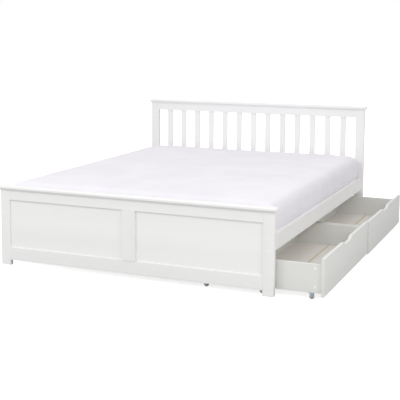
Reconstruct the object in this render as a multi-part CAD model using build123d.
from build123d import *
import os

# A double bed: slatted headboard, panelled footboard, two rolling drawers and a mattress.
# Millimetres. X runs across the bed (+X is the drawer side), Y from foot to head, +Z up.
# The origin is on the floor, under the middle of the bed.

# ---- bed ----
BED_WIDTH = 1680            # over the posts
BED_LENGTH = 2070           # over the headboard and footboard frames, without their caps
HEAD_HEIGHT = 834
FOOT_HEIGHT = 472
BOARD_DEPTH = 29            # thickness of the posts and rails at both ends
POST_WIDTH = 62
RAIL_SHY = 1.5              # the rails' outer faces lie this far behind the posts'
EASE = 1.5                  # rounding of the sawn edges
POST_EASE = 2.5
POST_FOOT_CHAMFER = 1

# ---- moulded caps ----
CAP_HEIGHT = 25
CAP_OVERHANG = 12
CAP_TIER = 18.5             # height of the wide upper tier
CAP_NECK = 3                # how far the narrow lower tier stands out
CAP_COVE = 4
CAP_TOP_ROUND = 8
CAP_LOW_ROUND = 4
CAP_CORNER = 7

# ---- headboard ----
HEAD_RAIL_Z = 753.5         # underside of the top rail
HEAD_LOW_RAIL = (190, 300)
SLAT_COUNT = 13
SLAT_WIDTH = 40
SLAT_PITCH = 114
SLAT_THICK = 14
TENON = (28, 8, 14)         # width, thickness and length of a slat's tenon
FIT_GAP = 0.2

# ---- footboard ----
FOOT_RAIL_Z = 389.5         # underside of the top rail
FOOT_LOW_RAIL = (31, 108)
STILE_WIDTH = 80
STILE_PROUD = 2             # in front of the posts' outer faces
PANEL_RECESS = 10
PANEL_THICK = 6
PANEL_GROOVE = 9
PANEL_EDGE = 8              # how far a panel reaches into its groove

# ---- side rails and corner bolts ----
RAIL_Z = (226.5, 319.5)
RAIL_THICK = 19
RAIL_SET_IN = 20.5          # from the posts' outer face
BOLT_OFFSET = 32.5          # each bolt above or below the rail's middle
BOLT_R = 3
BOLT_HEAD = (5, 6)          # radius and height
BOLT_LENGTH = 70            # under the head
BOLT_HOLE_SPARE = 16        # the rail's hole goes this far past the barrel nut
COUNTERBORE = (5.5, 9)
NUT_SET_BACK = 38
NUT_R = 5
NUT_LENGTH = 14
COVER_R = 6.5
COVER_PROUD = 1.6
COVER_PLUG = 2.4
DOWEL_R = 4
DOWEL_LENGTH = 44
FOOT_DOWEL_Z = (50, 86, 405, 431)
HEAD_DOWEL_Z = (218, 272, 767, 795)

# ---- base ----
LEDGE = (25, 35)            # width and height
LEDGE_HALF = 950
BASE_Z = 285                # top of the cross slats
BED_SLAT = (70, 18)
BED_SLAT_COUNT = 14
BED_SLAT_SPREAD = 1824      # between the first and the last slat's middles
BED_SLAT_HALF = 795
BEAM = (44, 70)
LEG_SIZE = 45
LEG_SPACING = 600
WEB_X = 400
WEB = (30, 0.8)
HANGER_THICK = 2
HANGER_DEPTH = 50           # also the height of its cheeks
HANGER_PLATE = (38, 62)     # half width and height above the seat
HANGER_SCREW = (31, 12, 50, 2.5)    # across, the two heights above the seat, hole radius

# ---- drawers ----
DRAWER_OPEN = 280           # how far the foot drawer stands out
HEAD_DRAWER_FURTHER = 9     # how much further the head drawer stands out
FRONT_THICK = 17
FRONT_Z = (22, 223.5)
FRONT_LENGTH = 999.5
DRAWER_GAP = 3
BOX_Z = (37, 190)
BOX_THICK = 15
BOX_REVEAL = 9              # from the front's end to the box side
DRAWER_DEPTH = 720
FRONT_ROOM = 427.5          # inner depth of the front compartment
NOTCH_TOP = 200
NOTCH_FLAT = 96
NOTCH_DEPTH = 17
NOTCH_ABOVE = 5             # the cut runs this far above the front
FLOOR_Z = 57
FLOOR_THICK = 3
FLOOR_GROOVE = 6
FLOOR_EDGE = 5
STRIP_WIDTH = 10
STRIP_WALL = 1
BATTEN_WIDTH = 45
CAM_R = 6
CAM_DEPTH = 10
CAM_SET_BACK = 34
CAM_Z = (69, 167)
CAM_PIN_R = 3
CAM_PIN_IN_FRONT = 10       # how far the pin is screwed into the front
CAM_CAP = (7, 0.8)

# ---- castors ----
CASTOR_X = (71, 339, 657)   # axle lines, measured back from the drawer's front face
CASTOR_INSET = 24           # from the front's end
WHEEL_R = 13
WHEEL_WIDTH = 12
AXLE_R = 2
RUNNING_GAP = 0.05
FORK_GAP = 14
FORK_WALL = 1.6
TREAD_ROUND = 2.5
DISH = (9, 4.5, 1.5)        # outer and inner radius and depth of the ring hollowed in each wheel face
RIVET_HEAD = (3.4, 1.2)     # radius and height of an axle's ends
CHEEK = (6.5, 11)           # half width of a fork cheek at the axle and at the plate
PLATE = (34, 30)
PLATE_HOLES = (12, 11.8)    # from the castor's middle
SCREW_R = 1.5
SCREW_LENGTH = 14
SCREW_HEAD = (2.8, 1.4)     # radius and height

# ---- mattress ----
MATTRESS = (1594, 1985, 200)
MATTRESS_CORNER = 50
MATTRESS_ROUND = 48
MATTRESS_BASE_ROUND = 22
MATTRESS_WALL = 13          # stands for the padding, so that the hollow body weighs what a mattress weighs
VENT_R = 8
SOFT_GAP = 0.3

# ---- worked out ----
HALF_W = BED_WIDTH / 2
HALF_L = BED_LENGTH / 2
POST_IN = HALF_W - POST_WIDTH
BOARD_IN = HALF_L - BOARD_DEPTH
BOARD_MID = HALF_L - BOARD_DEPTH / 2
RAIL_OUT = HALF_W - RAIL_SET_IN
RAIL_IN = RAIL_OUT - RAIL_THICK
RAIL_MID = (RAIL_OUT + RAIL_IN) / 2
BOLT_Z = [sum(RAIL_Z) / 2 + side * BOLT_OFFSET for side in (-1, 1)]
SLAT_Z = BASE_Z - BED_SLAT[1]
PANEL_Y = (-HALF_L + PANEL_RECESS, -HALF_L + PANEL_RECESS + PANEL_THICK)
FRONT_X = RAIL_OUT + DRAWER_OPEN
BOX_FRONT = FRONT_X - FRONT_THICK
BOX_BACK = FRONT_X - DRAWER_DEPTH
DIVIDER_FRONT = BOX_FRONT - FRONT_ROOM
ROOM_BACK = BOX_BACK + BOX_THICK
STRIP_X = (BOX_FRONT + DIVIDER_FRONT) / 2
PIECES = {}


def block(x, y, z, ease=0.0, edges=None):
    """A board between the given spans, with the chosen edges (all by default) eased."""
    board = Box(x[1] - x[0], y[1] - y[0], z[1] - z[0])
    if ease:
        chosen = board.edges() if edges is None else board.edges().filter_by(edges)
        board = fillet(chosen, ease)
    return Pos((x[0] + x[1]) / 2, (y[0] + y[1]) / 2, (z[0] + z[1]) / 2) * board


def rod(start, axis, length, radius):
    """A round bar from a start point along X, Y or Z; a negative length runs backwards."""
    turn = {"X": Rot(0, 90, 0), "Y": Rot(-90, 0, 0), "Z": Rot(0, 0, 0)}[axis]
    bar = Pos(0, 0, length / 2) * Cylinder(radius, abs(length))
    return Pos(*start) * turn * bar


def group(solids):
    """Separate solids that share one node."""
    return Compound(children=list(solids))


def keep(name, shape):
    """Store a sub-part under its node's name."""
    PIECES[name] = shape


# ---------------------------------------------------------------- joinery shared by both ends
def dowel_spots():
    """Every dowel as (centre, axis): rail ends in the posts, stile ends in the rails."""
    spots = []
    for side in (-1, 1):
        for z in FOOT_DOWEL_Z:
            spots.append(((side * POST_IN, -BOARD_MID, z), "X"))
        for z in HEAD_DOWEL_Z:
            spots.append(((side * POST_IN, BOARD_MID, z), "X"))
        for z in (FOOT_LOW_RAIL[1], FOOT_RAIL_Z):
            spots.append(((side * STILE_WIDTH / 4, -BOARD_MID, z), "Z"))
    return spots


def dowel(spot, axis, radius, length):
    back = {"X": (-length / 2, 0, 0), "Z": (0, 0, -length / 2)}[axis]
    start = tuple(spot[i] + back[i] for i in range(3))
    return rod(start, axis, length, radius)


def bore_dowels(board):
    """Cut the dowel holes that a board takes part in."""
    box = board.bounding_box()
    for spot, axis in dowel_spots():
        low, high = tuple(box.min), tuple(box.max)
        near = all(low[i] - 1 <= spot[i] <= high[i] + 1 for i in range(3))
        if near:
            board -= dowel(spot, axis, DOWEL_R + FIT_GAP / 2, DOWEL_LENGTH + 2)
    return board


def cap(end, height):
    """Moulded cap: a wide rounded tier on a narrow one, with a cove between them."""
    y_mid = end * BOARD_MID
    z_low = height - CAP_HEIGHT
    z_step = height - CAP_TIER

    def tier(overhang, z):
        reach = HALF_W + overhang
        half = BOARD_DEPTH / 2 + overhang
        return block((-reach, reach), (y_mid - half, y_mid + half), z)

    upper = tier(CAP_OVERHANG, (z_step, height))
    upper = fillet(upper.edges().filter_by(Axis.Z), CAP_CORNER)
    upper = fillet(upper.faces().sort_by(Axis.Z)[-1].edges(), CAP_TOP_ROUND)
    upper = fillet(upper.faces().sort_by(Axis.Z)[0].edges(), CAP_LOW_ROUND)
    lower = tier(CAP_NECK, (z_low, z_step))
    moulding = upper + lower
    neck = [edge for edge in moulding.edges().filter_by(GeomType.LINE)
            if abs(edge.center().Z - z_step) < 0.01 and abs(edge.tangent_at(0).Z) < 0.01
            and (abs(abs(edge.center().X) - HALF_W - CAP_NECK) < 0.01
                 or abs(abs(edge.center().Y - y_mid) - BOARD_DEPTH / 2 - CAP_NECK) < 0.01)]
    return fillet(neck, CAP_COVE)


# ---------------------------------------------------------------- posts
def post(side, end, height):
    """A post with counterbored holes for the two corner bolts."""
    x = sorted((side * POST_IN, side * HALF_W))
    y = sorted((end * BOARD_IN, end * HALF_L))
    timber = block(x, y, (0, height - CAP_HEIGHT), POST_EASE, Axis.Z)
    timber = chamfer(timber.faces().sort_by(Axis.Z)[0].edges(), POST_FOOT_CHAMFER)
    for z in BOLT_Z:
        hole = rod((side * RAIL_MID, end * (HALF_L + 1), z), "Y", -end * (BOARD_DEPTH + 2), BOLT_R + FIT_GAP)
        recess = rod((side * RAIL_MID, end * HALF_L, z), "Y", -end * COUNTERBORE[1], COUNTERBORE[0])
        timber -= hole + recess
    return bore_dowels(timber)


def head_post(side):
    return post(side, 1, HEAD_HEIGHT)


def foot_post(side):
    """A footboard post also has the stopped groove for its panel."""
    timber = post(side, -1, FOOT_HEIGHT)
    x = sorted((side * (POST_IN - 1), side * (POST_IN + PANEL_GROOVE)))
    z = (FOOT_LOW_RAIL[1] - PANEL_GROOVE, FOOT_RAIL_Z + PANEL_GROOVE)
    return timber - block(x, groove_y(), z)


def groove_y():
    return (PANEL_Y[0] - FIT_GAP, PANEL_Y[1] + FIT_GAP)


# ---------------------------------------------------------------- headboard
def slat_x():
    middle = (SLAT_COUNT - 1) / 2
    return [(index - middle) * SLAT_PITCH for index in range(SLAT_COUNT)]


def tenon(x, shoulder, way, gap):
    """A slat's tenon, or with a gap its mortise, going up (way 1) or down (-1) from the shoulder."""
    width, thick, length = TENON
    half_x = width / 2 + gap
    half_y = thick / 2 + gap
    reach = length + (1 if gap else 0)
    z = sorted((shoulder, shoulder + way * reach))
    return block((x - half_x, x + half_x), (BOARD_MID - half_y, BOARD_MID + half_y), z)


def head_slat(x):
    z_low, z_high = HEAD_LOW_RAIL[1], HEAD_RAIL_Z
    half = SLAT_THICK / 2
    span = (x - SLAT_WIDTH / 2, x + SLAT_WIDTH / 2)
    slat = block(span, (BOARD_MID - half, BOARD_MID + half), (z_low, z_high), 2, Axis.Z)
    return slat + tenon(x, z_low, -1, 0) + tenon(x, z_high, 1, 0)


def head_rail(z, shoulder, way):
    """A headboard rail with a mortise for every slat, going up or down from the shoulder."""
    rail = block((-POST_IN, POST_IN), (BOARD_IN + RAIL_SHY, HALF_L), z, EASE, Axis.X)
    for x in slat_x():
        rail -= tenon(x, shoulder, way, FIT_GAP)
    return bore_dowels(rail)


# ---------------------------------------------------------------- footboard
def foot_rail(z, groove_z):
    rail = block((-POST_IN, POST_IN), (-HALF_L + RAIL_SHY, -BOARD_IN), z, EASE, Axis.X)
    rail -= block((-POST_IN - 1, POST_IN + 1), groove_y(), groove_z)
    return bore_dowels(rail)


def foot_stile():
    half = STILE_WIDTH / 2
    z = (FOOT_LOW_RAIL[1], FOOT_RAIL_Z)
    stile = block((-half, half), (-HALF_L - STILE_PROUD, -BOARD_IN), z, EASE, Axis.Z)
    for side in (-1, 1):
        x = sorted((side * (half - PANEL_GROOVE), side * (half + 1)))
        stile -= block(x, groove_y(), (FOOT_LOW_RAIL[1] - 1, FOOT_RAIL_Z + 1))
    return bore_dowels(stile)


def foot_panel(side):
    x = sorted((side * (STILE_WIDTH / 2 - PANEL_EDGE), side * (POST_IN + PANEL_EDGE)))
    return block(x, PANEL_Y, (FOOT_LOW_RAIL[1] - PANEL_EDGE, FOOT_RAIL_Z + PANEL_EDGE))


# ---------------------------------------------------------------- side rails and their fasteners
def side_rail(side):
    """A side rail with end holes for the bolts and cross holes for the barrel nuts."""
    x = sorted((side * RAIL_IN, side * RAIL_OUT))
    rail = block(x, (-BOARD_IN, BOARD_IN), RAIL_Z, EASE, Axis.Y)
    hole_length = NUT_SET_BACK + BOLT_HOLE_SPARE
    for end in (-1, 1):
        for z in BOLT_Z:
            rail -= rod((side * RAIL_MID, end * (BOARD_IN + 1), z), "Y", -end * hole_length, BOLT_R + FIT_GAP)
            nut_y = end * (BOARD_IN - NUT_SET_BACK)
            rail -= rod((side * (RAIL_IN - 1), nut_y, z), "X", side * (NUT_LENGTH + 2), NUT_R + FIT_GAP / 2)
    return rail


def corners():
    return [(side, end, z) for side in (-1, 1) for end in (-1, 1) for z in BOLT_Z]


def corner_bolt(side, end, z):
    """A socket-head bolt, its head at the bottom of the counterbore."""
    seat = end * (HALF_L - COUNTERBORE[1])
    radius, height = BOLT_HEAD
    head = rod((side * RAIL_MID, seat, z), "Y", end * height, radius)
    head -= rod((side * RAIL_MID, seat + end * height, z), "Y", -end * height / 2, radius / 2)
    return head + rod((side * RAIL_MID, seat, z), "Y", -end * BOLT_LENGTH, BOLT_R)


def barrel_nut(side, end, z):
    y = end * (BOARD_IN - NUT_SET_BACK)
    nut = rod((side * (RAIL_IN + 0.5), y, z), "X", side * NUT_LENGTH, NUT_R)
    return nut - rod((side * RAIL_MID, y - 2 * NUT_R, z), "Y", 4 * NUT_R, BOLT_R + FIT_GAP / 2)


def bolt_cover(side, end, z):
    """A domed plastic cover with a short plug."""
    face = end * HALF_L
    disc = rod((side * RAIL_MID, face, z), "Y", end * COVER_PROUD, COVER_R)
    rim = [edge for edge in disc.edges() if abs(edge.center().Y - face - end * COVER_PROUD) < 0.01]
    disc = fillet(rim, COVER_PROUD * 0.6)
    plug = rod((side * RAIL_MID, face, z), "Y", -end * COVER_PLUG, COUNTERBORE[0] - FIT_GAP / 2)
    return disc + plug


# ---------------------------------------------------------------- base
def slat_ledge(side):
    width, height = LEDGE
    x = sorted((side * (RAIL_IN - width), side * RAIL_IN))
    return block(x, (-LEDGE_HALF, LEDGE_HALF), (SLAT_Z - height, SLAT_Z), EASE, Axis.Y)


def bed_slats():
    width = BED_SLAT[0]
    pitch = BED_SLAT_SPREAD / (BED_SLAT_COUNT - 1)
    for index in range(BED_SLAT_COUNT):
        y = -BED_SLAT_SPREAD / 2 + index * pitch
        span = (y - width / 2, y + width / 2)
        yield block((-BED_SLAT_HALF, BED_SLAT_HALF), span, (SLAT_Z, BASE_Z), EASE, Axis.X)


def slat_webbing():
    """Two woven bands under the slats that keep their spacing."""
    width, thick = WEB
    for side in (-1, 1):
        x = (side * WEB_X - width / 2, side * WEB_X + width / 2)
        yield block(x, (-LEDGE_HALF, LEDGE_HALF), (SLAT_Z - thick, SLAT_Z))


def centre_beam():
    width, height = BEAM
    reach = BOARD_IN - HANGER_THICK
    return block((-width / 2, width / 2), (-reach, reach), (SLAT_Z - height, SLAT_Z), EASE, Axis.Y)


def centre_legs():
    half = LEG_SIZE / 2
    for row in (-1, 0, 1):
        y = row * LEG_SPACING
        yield block((-half, half), (y - half, y + half), (0, SLAT_Z - BEAM[1]), POST_EASE, Axis.Z)


def beam_hanger(end):
    """A bent steel shoe that the beam's end drops into."""
    wall = HANGER_THICK
    half = BEAM[0] / 2 + 0.5
    seat = SLAT_Z - BEAM[1]
    back = sorted((end * (BOARD_IN - wall), end * BOARD_IN))
    shoe_y = sorted((end * (BOARD_IN - HANGER_DEPTH), end * (BOARD_IN - wall / 2)))
    shoe = block((-half - wall, half + wall), shoe_y, (seat - wall, seat))
    for side in (-1, 1):
        cheek = sorted((side * half, side * (half + wall)))
        shoe += block(cheek, shoe_y, (seat - wall, seat + HANGER_DEPTH))
    plate = block((-HANGER_PLATE[0], HANGER_PLATE[0]), back, (seat - wall, seat + HANGER_PLATE[1]))
    across, low, high, radius = HANGER_SCREW
    for side in (-1, 1):
        for z in (seat + low, seat + high):
            plate -= rod((side * across, end * (BOARD_IN + 1), z), "Y", -end * (wall + 2), radius)
    return shoe + plate


# ---------------------------------------------------------------- drawers
def drawer_span(row):
    """A drawer front's ends along Y; row 0 is nearer the footboard, row 1 nearer the headboard."""
    if row == 0:
        return (-DRAWER_GAP / 2 - FRONT_LENGTH, -DRAWER_GAP / 2)
    return (DRAWER_GAP / 2, DRAWER_GAP / 2 + FRONT_LENGTH)


def box_walls(row):
    """Y spans of the foot-side wall, the room between and the head-side wall."""
    low, high = drawer_span(row)
    foot = (low + BOX_REVEAL, low + BOX_REVEAL + BOX_THICK)
    head = (high - BOX_REVEAL - BOX_THICK, high - BOX_REVEAL)
    return foot, (foot[1], head[0]), head


def floor_groove(x, y):
    return block(x, y, (FLOOR_Z - FIT_GAP, FLOOR_Z + FLOOR_THICK + FIT_GAP))


def finger_notch(y_mid):
    """The dip in the front's top edge: a flat with an S of two arcs at each end."""
    top = FRONT_Z[1]
    run = (NOTCH_TOP - NOTCH_FLAT) / 4
    drop = NOTCH_DEPTH / 2
    half_top = NOTCH_TOP / 2
    half_flat = NOTCH_FLAT / 2
    with BuildSketch(Plane.YZ) as dip:
        with BuildLine():
            left = [(y_mid - half_top, top), (y_mid - half_top + run, top - drop),
                    (y_mid - half_flat, top - NOTCH_DEPTH)]
            right = [(2 * y_mid - y, z) for y, z in reversed(left)]
            a = TangentArc(left[0], left[1], tangent=(1, 0))
            b = TangentArc(left[2], left[1], tangent=(-1, 0))
            c = Line(left[2], right[0])
            d = TangentArc(right[0], right[1], tangent=(1, 0))
            e = TangentArc(right[2], right[1], tangent=(-1, 0))
            Polyline(right[2], (right[2][0], top + NOTCH_ABOVE), (left[0][0], top + NOTCH_ABOVE), left[0])
        make_face()
    return extrude(dip.sketch, 2 * FRONT_THICK, both=True).moved(Pos(FRONT_X, 0, 0))


def drawer_front(row):
    y = drawer_span(row)
    board = block((BOX_FRONT, FRONT_X), y, FRONT_Z)
    board -= finger_notch(sum(y) / 2)
    rim = [edge for edge in board.edges() if abs(edge.center().X - FRONT_X) < 0.01]
    board = fillet(rim, EASE)
    rim = [edge for edge in board.edges()
           if abs(edge.center().X - BOX_FRONT) < 0.01 and edge.center().Z > FRONT_Z[1] - NOTCH_DEPTH - 1]
    board = fillet(rim, EASE)
    board -= floor_groove((BOX_FRONT - 1, BOX_FRONT + FLOOR_GROOVE), (y[0] - 1, y[1] + 1))
    for wall in (box_walls(row)[0], box_walls(row)[2]):
        for z in CAM_Z:
            board -= rod((BOX_FRONT - 1, sum(wall) / 2, z), "X", CAM_PIN_IN_FRONT + 2, CAM_PIN_R + FIT_GAP)
    return board


def drawer_side(row, end):
    """A box side: floor groove inside, cam bores outside, pin bores in its front edge."""
    wall = box_walls(row)[0] if end < 0 else box_walls(row)[2]
    outer = wall[0] if end < 0 else wall[1]
    inner = wall[1] if end < 0 else wall[0]
    board = block((BOX_BACK, BOX_FRONT), wall, BOX_Z, EASE, Axis.X)
    groove_span = sorted((inner + end * FLOOR_GROOVE, inner - end))
    board -= floor_groove((ROOM_BACK - FLOOR_GROOVE, BOX_FRONT + 1), groove_span)
    for z in CAM_Z:
        board -= rod((BOX_FRONT - CAM_SET_BACK, outer, z), "Y", -end * (CAM_DEPTH + 1), CAM_R + FIT_GAP)
        board -= rod((BOX_FRONT + 1, sum(wall) / 2, z), "X", -CAM_SET_BACK, CAM_PIN_R + FIT_GAP)
    return board


def cross_board(row, x, grooves):
    """The back or the divider, with floor grooves in the faces named by -1 (rear) and 1 (front)."""
    board = block(x, box_walls(row)[1], BOX_Z, EASE, Axis.Y)
    for face in grooves:
        plane = x[0] if face < 0 else x[1]
        span = sorted((plane + face, plane - face * FLOOR_GROOVE))
        board -= floor_groove(span, (box_walls(row)[1][0] - 1, box_walls(row)[1][1] + 1))
    return board


def drawer_floor(row):
    """Three hardboard panels: two meet at the joint strip, one lies behind the divider."""
    room = box_walls(row)[1]
    y = (room[0] - FLOOR_EDGE, room[1] + FLOOR_EDGE)
    z = (FLOOR_Z, FLOOR_Z + FLOOR_THICK)
    web = STRIP_WALL / 2 + FIT_GAP
    yield block((STRIP_X + web, BOX_FRONT + FLOOR_EDGE), y, z)
    yield block((DIVIDER_FRONT - FLOOR_EDGE, STRIP_X - web), y, z)
    yield block((ROOM_BACK - FLOOR_EDGE, DIVIDER_FRONT - BOX_THICK + FLOOR_EDGE), y, z)


def floor_strip(row):
    """H-section plastic strip between the two front floor panels."""
    room = box_walls(row)[1]
    y = (room[0] + 0.5, room[1] - 0.5)
    half = STRIP_WIDTH / 2
    gap = FIT_GAP / 4
    low, high = FLOOR_Z - gap, FLOOR_Z + FLOOR_THICK + gap
    strip = block((STRIP_X - STRIP_WALL / 2, STRIP_X + STRIP_WALL / 2), y, (low - 0.5, high + 0.5))
    strip += block((STRIP_X - half, STRIP_X + half), y, (low - STRIP_WALL, low))
    strip += block((STRIP_X - half, STRIP_X + half), y, (high, high + STRIP_WALL))
    return strip


def drawer_battens(row):
    for back in CASTOR_X:
        x = FRONT_X - back
        span = (x - BATTEN_WIDTH / 2, x + BATTEN_WIDTH / 2)
        yield block(span, box_walls(row)[1], (BOX_Z[0], FLOOR_Z), EASE, Axis.Y)


def cam_spots(row):
    for end, wall in ((-1, box_walls(row)[0]), (1, box_walls(row)[2])):
        for z in CAM_Z:
            yield end, wall, z


def cam_locks(row):
    """Zinc cams in the box sides, each with the steel pin that draws the front up."""
    for end, wall, z in cam_spots(row):
        outer = wall[0] if end < 0 else wall[1]
        yield rod((BOX_FRONT - CAM_SET_BACK, outer, z), "Y", -end * CAM_DEPTH, CAM_R)
        reach = CAM_SET_BACK - CAM_R - 0.5
        yield rod((BOX_FRONT - reach, sum(wall) / 2, z), "X", reach + CAM_PIN_IN_FRONT, CAM_PIN_R)


def cam_caps(row):
    radius, thick = CAM_CAP
    for end, wall, z in cam_spots(row):
        outer = wall[0] if end < 0 else wall[1]
        yield rod((BOX_FRONT - CAM_SET_BACK, outer, z), "Y", end * thick, radius)


# ---------------------------------------------------------------- castors
def castor_spots(row):
    """Each castor's place as (x, y), axle line by axle line."""
    low, high = drawer_span(row)
    return [(FRONT_X - back, y) for back in CASTOR_X for y in (low + CASTOR_INSET, high - CASTOR_INSET)]


def castor_fork(x, y):
    """A pressed steel fork: a plate with four screw holes and two rounded cheeks."""
    top = BOX_Z[0]
    length, width = PLATE
    under = top - FORK_WALL
    fork = block((x - length / 2, x + length / 2), (y - width / 2, y + width / 2), (under, top), 2, Axis.Z)
    for side in (-1, 1):
        inner = FORK_GAP / 2
        with BuildSketch(Plane.XZ) as cheek:
            with Locations((x, WHEEL_R)):
                Circle(CHEEK[0])
            with BuildLine():
                Polyline((x - CHEEK[0], WHEEL_R), (x - CHEEK[1], under + 0.5), (x + CHEEK[1], under + 0.5),
                         (x + CHEEK[0], WHEEL_R), close=True)
            make_face()
            with Locations((x, WHEEL_R)):
                Circle(AXLE_R + RUNNING_GAP, mode=Mode.SUBTRACT)
        wall = extrude(cheek.sketch, -FORK_WALL)
        shift = y + inner if side > 0 else y - inner - FORK_WALL
        fork += wall.moved(Pos(0, shift, 0))
    for sx, sy in screw_spots(x, y):
        fork -= rod((sx, sy, under - 1), "Z", FORK_WALL + 2, SCREW_R + FIT_GAP)
    return fork


def screw_spots(x, y):
    across, along = PLATE_HOLES
    return [(x + side_x * across, y + side_y * along) for side_x in (-1, 1) for side_y in (-1, 1)]


def castor_axle(x, y):
    """A riveted pin whose heads sit on the fork's cheeks."""
    half = FORK_GAP / 2 + FORK_WALL
    pin = rod((x, y - half, WHEEL_R), "Y", 2 * half, AXLE_R)
    for side in (-1, 1):
        pin += rod((x, y + side * half, WHEEL_R), "Y", side * RIVET_HEAD[1], RIVET_HEAD[0])
    return pin


def castor_screws(row):
    under = BOX_Z[0] - FORK_WALL
    for x, y in castor_spots(row):
        for sx, sy in screw_spots(x, y):
            radius, height = SCREW_HEAD
            head = rod((sx, sy, under - height), "Z", height, radius)
            yield head + rod((sx, sy, under), "Z", SCREW_LENGTH, SCREW_R)


def wheel(x, y):
    """A moulded wheel: rounded tread, dished sides and a bored hub."""
    half = WHEEL_WIDTH / 2
    tyre = rod((x, y - half, WHEEL_R), "Y", WHEEL_WIDTH, WHEEL_R)
    tyre = fillet(tyre.edges().filter_by(GeomType.CIRCLE), TREAD_ROUND)
    rim, hub, depth = DISH
    for side in (-1, 1):
        dish = rod((x, y + side * half, WHEEL_R), "Y", -side * depth, rim)
        dish -= rod((x, y + side * half, WHEEL_R), "Y", -side * depth, hub)
        tyre -= dish
    return tyre - rod((x, y - half - 1, WHEEL_R), "Y", WHEEL_WIDTH + 2, AXLE_R + RUNNING_GAP)


# ---------------------------------------------------------------- mattress
def pillow(inset):
    """A box with rounded upright corners and rounded top and bottom edges, smaller by the inset."""
    length_x, length_y, height = (size - 2 * inset for size in MATTRESS)
    body = fillet(Box(length_x, length_y, height).edges().filter_by(Axis.Z), MATTRESS_CORNER - inset)
    body = fillet(body.faces().sort_by(Axis.Z)[-1].edges(), MATTRESS_ROUND - inset)
    body = fillet(body.faces().sort_by(Axis.Z)[0].edges(), MATTRESS_BASE_ROUND - inset)
    return body


def mattress():
    """The mattress in its fitted sheet, hollow inside, with air vents in its underside."""
    body = pillow(0) - pillow(MATTRESS_WALL)
    for x in (-1, 1):
        for y in (-1, 1):
            body -= rod((x * MATTRESS[0] / 4, y * MATTRESS[1] / 4, -MATTRESS[2]), "Z", MATTRESS[2], VENT_R)
    return Pos(0, 0, BASE_Z + SOFT_GAP + MATTRESS[2] / 2) * body


# ---------------------------------------------------------------- assembly
def make_headboard():
    keep("headboard_post_left", head_post(-1))
    keep("headboard_post_right", head_post(1))
    keep("headboard_cap", cap(1, HEAD_HEIGHT))
    keep("headboard_top_rail", head_rail((HEAD_RAIL_Z, HEAD_HEIGHT - CAP_HEIGHT), HEAD_RAIL_Z, 1))
    keep("headboard_bottom_rail", head_rail(HEAD_LOW_RAIL, HEAD_LOW_RAIL[1], -1))
    keep("headboard_slats", group(head_slat(x) for x in slat_x()))


def make_footboard():
    keep("footboard_post_left", foot_post(-1))
    keep("footboard_post_right", foot_post(1))
    keep("footboard_cap", cap(-1, FOOT_HEIGHT))
    top_groove = (FOOT_RAIL_Z - 1, FOOT_RAIL_Z + PANEL_GROOVE)
    low_groove = (FOOT_LOW_RAIL[1] - PANEL_GROOVE, FOOT_LOW_RAIL[1] + 1)
    keep("footboard_top_rail", foot_rail((FOOT_RAIL_Z, FOOT_HEIGHT - CAP_HEIGHT), top_groove))
    keep("footboard_bottom_rail", foot_rail(FOOT_LOW_RAIL, low_groove))
    keep("footboard_stile", foot_stile())
    keep("footboard_panel_left", foot_panel(-1))
    keep("footboard_panel_right", foot_panel(1))


def make_sides_and_base():
    for side, word in ((-1, "left"), (1, "right")):
        keep("side_rail_" + word, side_rail(side))
        keep("slat_ledge_" + word, slat_ledge(side))
    keep("corner_bolts", group(corner_bolt(*corner) for corner in corners()))
    keep("barrel_nuts", group(barrel_nut(*corner) for corner in corners()))
    keep("bolt_covers", group(bolt_cover(*corner) for corner in corners()))
    keep("frame_dowels", group(dowel(spot, axis, DOWEL_R, DOWEL_LENGTH) for spot, axis in dowel_spots()))
    keep("bed_slats", group(bed_slats()))
    keep("slat_webbing", group(slat_webbing()))
    keep("centre_beam", centre_beam())
    keep("centre_legs", group(centre_legs()))
    keep("beam_hangers", group(beam_hanger(end) for end in (-1, 1)))


def make_drawer(row, word):
    """One drawer; the head drawer is the same box, a little further out."""
    spots = castor_spots(row)
    out = Pos(row * HEAD_DRAWER_FURTHER, 0, 0)

    def put(part, *solids):
        moved = [out * solid for solid in solids]
        keep("drawer_" + word + "_" + part, moved[0] if len(moved) == 1 else group(moved))

    put("front", drawer_front(row))
    put("side_left", drawer_side(row, -1))
    put("side_right", drawer_side(row, 1))
    put("back", cross_board(row, (BOX_BACK, ROOM_BACK), [1]))
    put("divider", cross_board(row, (DIVIDER_FRONT - BOX_THICK, DIVIDER_FRONT), [-1, 1]))
    put("floor", *drawer_floor(row))
    put("floor_strip", floor_strip(row))
    put("battens", *drawer_battens(row))
    put("cam_locks", *cam_locks(row))
    put("cam_caps", *cam_caps(row))
    put("castor_forks", *[castor_fork(*spot) for spot in spots])
    put("castor_axles", *[castor_axle(*spot) for spot in spots])
    put("castor_screws", *castor_screws(row))
    for index, line in enumerate(("front", "middle", "rear")):
        put("wheels_" + line, *[wheel(*spot) for spot in spots[2 * index:2 * index + 2]])


make_headboard()
make_footboard()
make_sides_and_base()
make_drawer(0, "foot")
make_drawer(1, "head")
keep("mattress", mattress())

os.makedirs("parts", exist_ok=True)
for node, shape in PIECES.items():
    export_step(shape, "parts/" + node + ".step")
print(len(PIECES), "nodes")
